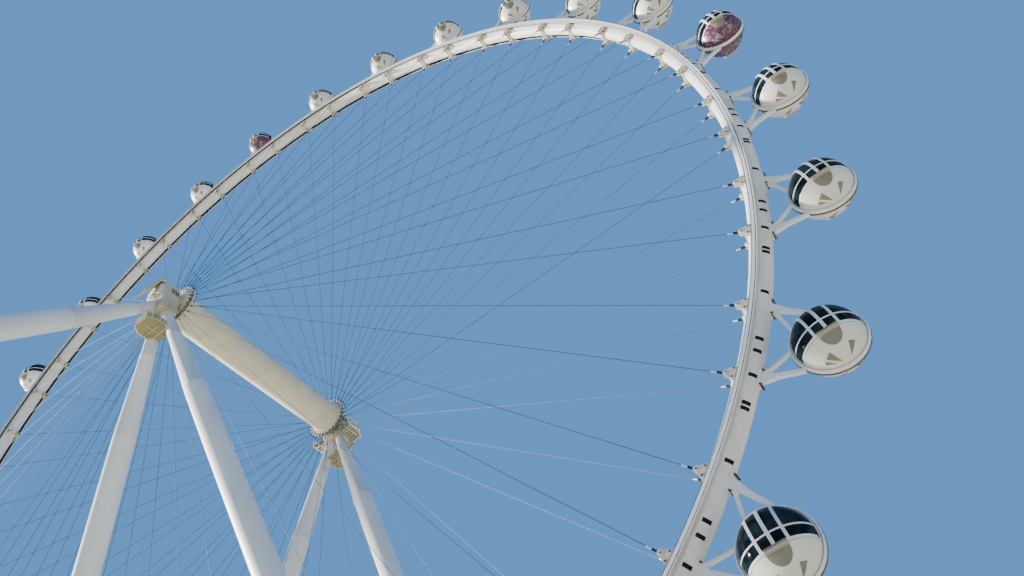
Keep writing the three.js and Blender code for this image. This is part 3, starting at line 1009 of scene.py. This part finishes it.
def buildHead(side):
    bm = bmesh.new()
    names = ["head", "panel", "access", "dark"]
    bevel, inner, outer = head["bevel"], head["inner"], head["outer"]
    layers = [(inner, bevel), (inner + bevel, 0), (outer - bevel, 0), (outer, bevel)]
    sections = [[Vector((x, side * y, z)) for x, z in headOutline(inset)] for y, inset in layers]
    addSweep(bm, sections)
    for y, direction in ((outer, side), (inner, -side)):
        addTurned(bm, (0, side * y, 0), (0, direction, 0), head["cap"], 48, names.index("panel"))
        for k in range(4):
            start = polar(head["capRib"], k * 45, side * y + direction * head["cap"][-1][0])
            addRod(bm, start, polar(-head["capRib"], k * 45, start.y), 0.007, 6, names.index("access"))
    for x in (-1, 1):
        for y in head["flankRibs"]:
            addBox(bm, (x * (head["half"] + 0.004), side * y, -0.19), (0.012, 0.005, 0.19))
        # Dark slats on the flanks: painted shade
        for y in head["slats"]:
            spot = (x * (head["half"] + 0.006), side * y, -0.03)
            addBox(bm, spot, (0.012, 0.009, 0.045), names.index("dark"))
    return makeMesh(bm, "head", names)


for endName, side in ends:
    makeLook(f"head_{endName}", buildHead(side), aboutAxle(), "stand")
print("heads made")


# Service galleries: a cage between each pair of legs and, at the far end, a deck round the head

gallery = {
    "cageLevel": -0.700,
    "deckLevel": -0.300,
    "cage": (
        (-0.155, 1.545), (-0.155, 1.800), (-0.095, 1.895), (0.095, 1.895), (0.155, 1.800), (0.155, 1.545),
    ),
    "decks": (
        ((-0.176, 1.541), (-0.345, 1.541), (-0.345, 1.770), (-0.270, 1.895), (-0.176, 1.895)),
        ((0.176, 1.541), (0.345, 1.541), (0.345, 1.770), (0.270, 1.895), (0.176, 1.895)),
    ),
    "bridge": ((-0.176, 1.796), (-0.176, 1.895), (0.176, 1.895), (0.176, 1.796)),
    "railHigh": 0.120,
    "barRadius": 0.0045,
    "postRadius": 0.0055,
    "postGap": 0.055,
    "floorThick": 0.008,
    "crossStop": 0.095,  # how far a floor's beams stay short of its outer edge
    "middleStop": 0.060,
    # The floors take the darker paint copies, as painted shade
    "cageFinishes": ("oliveShade", "access", "trim", "olive"),  # floor, beams, posts and sheets
    "deckFinishes": ("accessShade", "trim", "trim", "olive"),
}


def addThinSheet(bm, corners, halfThick, finish):
    across = (corners[1] - corners[0]).cross(corners[2] - corners[1]).normalized() * halfThick
    sections = [[point + across for point in corners], [point - across for point in corners]]
    addSweep(bm, sections, finish, smooth=False)


# Rail with a post every postGap and a sheet behind the bars
def addRail(bm, start, end, up, barFinish, postFinish, sheetFinish):
    posts = max(1, round((end - start).length / gallery["postGap"]))
    for k in range(posts + 1):
        foot = start.lerp(end, k / posts)
        addRod(bm, foot, foot + up, gallery["postRadius"], 6, postFinish)
    for share in (0.04, 0.5, 1.0):
        addRod(bm, start + up * share, end + up * share, gallery["barRadius"], 6, barFinish)
    low, high = up * 0.04, up * 0.8
    addThinSheet(bm, [start + low, end + low, end + high, start + high], 0.001, sheetFinish)


def addPlatform(bm, outline, side, level, railed, finishes, fields):
    floor, beam, post, sheet = finishes
    corners = [Vector((x, side * y, level)) for x, y in outline]
    rise = Vector((0, 0, gallery["floorThick"]))
    addSweep(bm, [corners, [corner + rise for corner in corners]], floor, smooth=False)
    for k in railed:
        start, end = corners[k], corners[(k + 1) % len(corners)]
        addRod(bm, start, end, 0.010, 8, beam)
        addRail(bm, start, end, Vector((0, 0, gallery["railHigh"])), beam, post, sheet)
    low, high = min(y for x, y in outline), max(y for x, y in outline)
    left, right = min(x for x, y in outline), max(x for x, y in outline)
    for k in range(1, fields):
        y = side * (low + (high - gallery["crossStop"] - low) * k / fields)
        addBox(bm, ((left + right) / 2, y, level - 0.006), ((right - left) / 2, 0.005, 0.010), beam)
    stop = gallery["middleStop"]
    spot = ((left + right) / 2, side * (low + high - stop) / 2, level - 0.004)
    addBox(bm, spot, (0.004, (high - stop - low) / 2, 0.008), beam)


def buildGallery(side):
    names = ["access", "accessShade", "trim", "olive", "oliveShade"]
    bm = bmesh.new()
    cageFinishes, deckFinishes = (
        [names.index(finish) for finish in gallery[key]] for key in ("cageFinishes", "deckFinishes"))
    cageLevel, deckLevel = gallery["cageLevel"], gallery["deckLevel"]
    addPlatform(bm, gallery["cage"], side, cageLevel, range(5), cageFinishes, 3)
    if side > 0:
        for deck in gallery["decks"]:
            addPlatform(bm, deck, side, deckLevel, (1, 2, 3), deckFinishes, 5)
        addPlatform(bm, gallery["bridge"], side, deckLevel, (1,), deckFinishes, 3)
        for x, y in gallery["cage"][2:4]:
            bottom, top = Vector((x, y, cageLevel)), Vector((x, y, deckLevel))
            addRod(bm, bottom, top, 0.007, 8)
            addRod(bm, bottom, top - Vector((2 * x, 0, 0)), 0.005, 8)
        for x in (-0.345, 0.345):
            for y in (1.56, 1.77):
                addRod(bm, (x, y, deckLevel), (x * 0.4, y, deckLevel - 0.12), 0.007, 8)
    return makeMesh(bm, "gallery", names)


for endName, side in ends:
    makeLook(f"gallery_{endName}", buildGallery(side), aboutAxle(), "stand")


# Stepped walk over each head: a floor between two panelled trusses

walk = {
    "half": 0.083,
    "path": ((2.000, -0.250), (1.860, 0.040), (1.796, 0.1903), (1.552, 0.1903)),
    "railHigh": 0.058,
    "fieldLength": 0.085,
    "chord": 0.006,
}


def addTruss(bm, start, end, up):
    fields = max(1, round((end - start).length / walk["fieldLength"]))
    addThinSheet(bm, [start, end, end + up, start + up], 0.0015, 2)
    for share in (0, 1):
        addRod(bm, start + up * share, end + up * share, walk["chord"], 6, 0)
    for k in range(fields):
        a, b = start.lerp(end, k / fields), start.lerp(end, (k + 1) / fields)
        middle = a.lerp(b, 0.5)
        addRod(bm, a + up, middle, walk["chord"] * 0.8, 6, 0)
        addRod(bm, middle, b + up, walk["chord"] * 0.8, 6, 0)


def buildWalk(side):
    bm = bmesh.new()
    points = [Vector((0, side * y, z)) for y, z in walk["path"]]
    up = Vector((0, 0, walk["railHigh"]))
    half, rise = Vector((walk["half"], 0, 0)), Vector((0, 0, 0.004))
    for start, end in zip(points, points[1:]):
        corners = [start - half + rise, start + half + rise, end + half + rise, end - half + rise]
        # Floor in the darker access copy, as painted shade
        addThinSheet(bm, corners, 0.003, 1)
        treads = round((end - start).length / 0.04)
        for k in range(treads):
            spot = start.lerp(end, (k + 0.5) / treads) + rise
            addBox(bm, spot, (walk["half"], 0.005, 0.007), 0)
        for shift in (-half, half):
            addTruss(bm, start + shift, end + shift, up)
    return makeMesh(bm, "walk", ["access", "accessShade", "panel"])


for endName, side in ends:
    makeLook(f"walk_{endName}", buildWalk(side), aboutAxle(), "stand")
print("galleries and walks made")


# Cabins: glazed balls with a solid belly

cabin = {
    "radius": 0.292,
    "wall": 0.014,
    "belt": -0.095,  # where the belly ends and the glass begins
    "floor": -0.115,
    "seam": -0.107,
    "bellySides": 72,
    "hoop": 0.026,
    "jambs": ((0.094, 0.104), (0.106, 0.116)),
    "leafEdge": (0.0015, 0.013),
    "sillTop": -0.088,
    "sillStep": -0.106,
    "sillBottom": -0.125,
    "sillHalf": 0.088,
    "sillReach": 0.290,
    "transom": (-0.0115, -0.0005),
    "beltStrip": (-0.097, -0.086),
    "roof": 0.240,
    "roofSides": 48,
    "moonHalf": 0.086,
    "moonLow": -0.213,
    "wrapped": ("cabin_05", "cabin_12"),
}

# Louvres in the belly: two base corners and a tip for each, on the ball, in tenths of a metre
louvres = (
    ((-0.89, -1.72, -2.22), (-1.38, -1.24, -2.29), (-0.40, -0.76, -2.81)),
    ((-1.49, -1.08, -2.30), (-1.62, -0.73, -2.35), (-0.86, -0.72, -2.72)),
    ((0.75, -1.79, -2.21), (1.23, -1.46, -2.24), (0.35, -0.79, -2.81)),
)


def levelRadius(radius, z):
    return math.sqrt(max(radius * radius - z * z, 1e-9))


# Curved sheet on the ball: limits(z) gives the x range of each level row, on the near or the far half
def addBallSheet(bm, side, heights, limits, outer, thick, columns, finish):
    sections = []
    for z in heights:
        low, high = limits(z)
        section = []
        for radius, order in ((outer, range(columns + 1)), (outer - thick, range(columns, -1, -1))):
            reach = levelRadius(radius, z)
            start, end = (math.asin(max(-0.9999, min(0.9999, x / reach))) for x in (low, high))
            for k in order:
                angle = start + (end - start) * k / columns
                section.append(Vector((reach * math.sin(angle), side * reach * math.cos(angle), z)))
        sections.append(section)
    return addSweep(bm, sections, finish)


# Points of a level circle about the cabin's upright axis
def levelCircle(radius, z, sides):
    return [Vector((radius * math.cos(a), radius * math.sin(a), z)) for a in evenAngles(sides)]


def heightRows(low, high, count):
    return [low + (high - low) * k / count for k in range(count + 1)]


def hoopLimit(z, radius):
    reach = levelRadius(radius, z)
    return math.sqrt(max(reach * reach - cabin["hoop"] ** 2, 1e-9))


def addBelly(bm, finish, floorFinish, seamFinish):
    radius, wall, belt = cabin["radius"], cabin["wall"], cabin["belt"]
    profile = []
    lowest = math.asin(belt / radius)
    for k in range(21):
        angle = -math.pi / 2 + (lowest + math.pi / 2) * k / 20
        profile.append((max(radius * math.cos(angle), 0.0005), radius * math.sin(angle)))
    seam = cabin["seam"]
    at = levelRadius(radius, seam)
    profile[-1:] = [(at - 0.0006, seam - 0.0016), (at - 0.003, seam - 0.0012), (at - 0.003, seam + 0.0012),
                    (at + 0.0002, seam + 0.0016), profile[-1]]
    inner = levelRadius(radius - wall, belt)
    profile += [(inner, belt), (inner - 0.003, cabin["floor"]), (0.0005, cabin["floor"])]
    sides = cabin["bellySides"]
    faces = addSweep(bm, [levelCircle(r, z, sides) for r, z in profile], finish)
    for row, rowFinish in ((len(profile) - 2, floorFinish), (21, seamFinish), (22, seamFinish)):
        for face in faces[row * sides:(row + 1) * sides]:
            face.material_index = rowFinish


def addHoop(bm, finish):
    radius, wall, half = cabin["radius"] + 0.0012, cabin["wall"], cabin["hoop"]
    first = math.asin(cabin["belt"] / radius) - 0.02
    sections = []
    count = 64
    for k in range(count + 1):
        angle = first + (math.pi - 2 * first) * k / count
        section = []
        for r, order in ((radius, range(5)), (radius - wall, range(4, -1, -1))):
            for j in order:
                y = -half + 2 * half * j / 4
                reach = levelRadius(r, y)
                section.append(Vector((reach * math.cos(angle), y, reach * math.sin(angle))))
        sections.append(section)
    addSweep(bm, sections, finish)


def addRoof(bm, finish):
    radius, wall = cabin["radius"] + 0.001, cabin["wall"]
    sides = cabin["roofSides"]
    first = math.asin(cabin["roof"] / radius)
    angles = [first + (math.pi / 2 - first) * k / 8 for k in range(9)]
    profile = [(radius * math.cos(a), radius * math.sin(a)) for a in angles]
    profile += [((radius - wall) * math.cos(a), (radius - wall) * math.sin(a)) for a in reversed(angles)]
    addSweep(bm, [levelCircle(max(r, 0.0005), z, sides) for r, z in profile], finish, closed=True)


def addGlazing(bm, side, glassFinish, frameFinish):
    radius = cabin["radius"]
    low, high = cabin["jambs"][0][0], cabin["jambs"][-1][1]
    edgeLow, edgeHigh = cabin["leafEdge"]
    belt, roof, sillTop = cabin["belt"], cabin["roof"] + 0.004, cabin["sillTop"]
    tallRows = heightRows(belt, roof, 16)
    doorRows = heightRows(sillTop, roof, 16)
    glassOut, glassThick = radius - 0.004, 0.004
    frameOut, frameThick = radius + 0.001, 0.012

    def sided(x0, x1, hand):
        return (lambda z: (x0, x1)) if hand > 0 else (lambda z: (-x1, -x0))

    for hand in (-1, 1):
        def sideGlass(z):
            reach = hoopLimit(z, glassOut - glassThick)
            return (high, reach) if hand > 0 else (-reach, -high)
        addBallSheet(bm, side, tallRows, sideGlass, glassOut, glassThick, 12, glassFinish)
        addBallSheet(bm, side, doorRows, sided(edgeHigh, low, hand), glassOut, glassThick, 5, glassFinish)
        for strip in cabin["jambs"]:
            addBallSheet(bm, side, tallRows, sided(*strip, hand), frameOut, frameThick, 1, frameFinish)
        addBallSheet(bm, side, doorRows, sided(edgeLow, edgeHigh, hand), frameOut, frameThick, 1, frameFinish)

    def wide(z):
        reach = hoopLimit(z, frameOut - frameThick)
        return -reach, reach

    for low, high in (cabin["transom"], cabin["beltStrip"]):
        addBallSheet(bm, side, heightRows(low, high, 1), wide, frameOut, frameThick, 40, frameFinish)


def addSill(bm, side, finish, shadeFinish):
    half, step, inner = cabin["sillHalf"], cabin["sillStep"], side * 0.245
    # The upper strip takes the darker copy of the sill paint, as painted shade
    for low, high, reach, paint in ((cabin["sillBottom"], step, cabin["sillReach"], finish),
                                    (step, cabin["sillTop"], cabin["sillReach"] - 0.005, shadeFinish)):
        outer, nearly, slim = side * reach, side * (reach - 0.006), half - 0.006
        outline = [(-half, inner), (half, inner), (half, nearly), (slim, outer),
                   (-slim, outer), (-half, nearly)]
        addSweep(bm, [[Vector((x, y, z)) for x, y in outline] for z in (low, high)], paint, smooth=False)


def addHalfMoon(bm, side, finish):
    top, bottom = cabin["sillBottom"], cabin["moonLow"]

    def limits(z):
        share = min(1.0, max(0.0, (top - z) / (top - bottom)))
        reach = cabin["moonHalf"] * math.sqrt(max(1 - share * share, 0.0004))
        return -reach, reach
    rows = [top - (top - bottom) * math.sin(math.pi / 2 * k / 10) for k in range(11)]
    addBallSheet(bm, side, rows, limits, cabin["radius"] + 0.0015, 0.006, 12, finish)


def addLouvre(bm, corners, side, finish):
    outer, inner = cabin["radius"] + 0.0018, cabin["radius"] - 0.004
    first, second, tip = (Vector((x * -side, y * -side, z)) * 0.1 for x, y, z in corners)
    sections = []
    for k in range(9):
        share = 0.03 + 0.97 * k / 8
        a, b = tip.lerp(first, share), tip.lerp(second, share)
        row = [a.lerp(b, j / 4).normalized() for j in range(5)]
        sections.append([point * outer for point in row] + [point * inner for point in reversed(row)])
    addSweep(bm, sections, finish)


def buildCabin(wrapped):
    bellyFinish = "wrap" if wrapped else "ball"
    names = [bellyFinish, "floor", "moon", "trim", "glass", "sill", "sillShade", "grille"]
    bm = bmesh.new()
    addBelly(bm, 0, 1, 2)
    addHoop(bm, 3)
    addRoof(bm, 3)
    for side in (-1, 1):
        addGlazing(bm, side, 4, 3)
        addSill(bm, side, 5, 6)
        addHalfMoon(bm, side, 2)
        for corners in louvres:
            addLouvre(bm, corners, side, 7)
    return makeMesh(bm, "cabin", names)


plainCabin, wrappedCabin = buildCabin(False), buildCabin(True)
for i, centre in enumerate(cabinCentres):
    name = f"cabin_{i + 1:02d}"
    mesh = wrappedCabin if name in cabin["wrapped"] else plainCabin
    makeLook(name, mesh, Matrix.Translation(centre), f"{name}_body")
print("cabins made, faces each:", len(plainCabin.polygons))


# Plain floor, one low sun lamp and an even surround

stage = {
    "floorHalf": 60,
    "floorTone": (0.66, 0.59, 0.43, 1),
    "sunTowards": (-0.947, -0.167, 0.276),
    "sunStrength": 17,
    "sunSize": 4,
    "sunTone": (1.0, 0.96, 0.88),
    "surroundTone": (0.13, 0.37, 0.82, 1),
    "surroundStrength": 0.9,
}


def makeStage():
    bm = bmesh.new()
    half = stage["floorHalf"]
    addBox(bm, (0, 0, -0.51), (half, half, 0.505))
    mesh = bpy.data.meshes.new("plainFloor")
    bm.to_mesh(mesh)
    bm.free()
    sheet = Sheet("plainFloor")
    mesh.materials.append(sheet.finish(Base_Color=stage["floorTone"], Roughness=0.8))
    floor = bpy.data.objects.new("plainFloor", mesh)
    bpy.context.scene.collection.objects.link(floor)
    sun = bpy.data.lights.new("lowSun", "SUN")
    sun.energy = stage["sunStrength"]
    sun.angle = math.radians(stage["sunSize"])
    sun.color = stage["sunTone"]
    lamp = bpy.data.objects.new("lowSun", sun)
    lamp.rotation_euler = Vector(stage["sunTowards"]).to_track_quat("Z", "Y").to_euler()
    bpy.context.scene.collection.objects.link(lamp)
    world = bpy.data.worlds.new("evenSurround")
    world.use_nodes = True
    backdrop = world.node_tree.nodes["Background"]
    backdrop.inputs["Color"].default_value = stage["surroundTone"]
    backdrop.inputs["Strength"].default_value = stage["surroundStrength"]
    bpy.context.scene.world = world


makeStage()
print("stage ready")
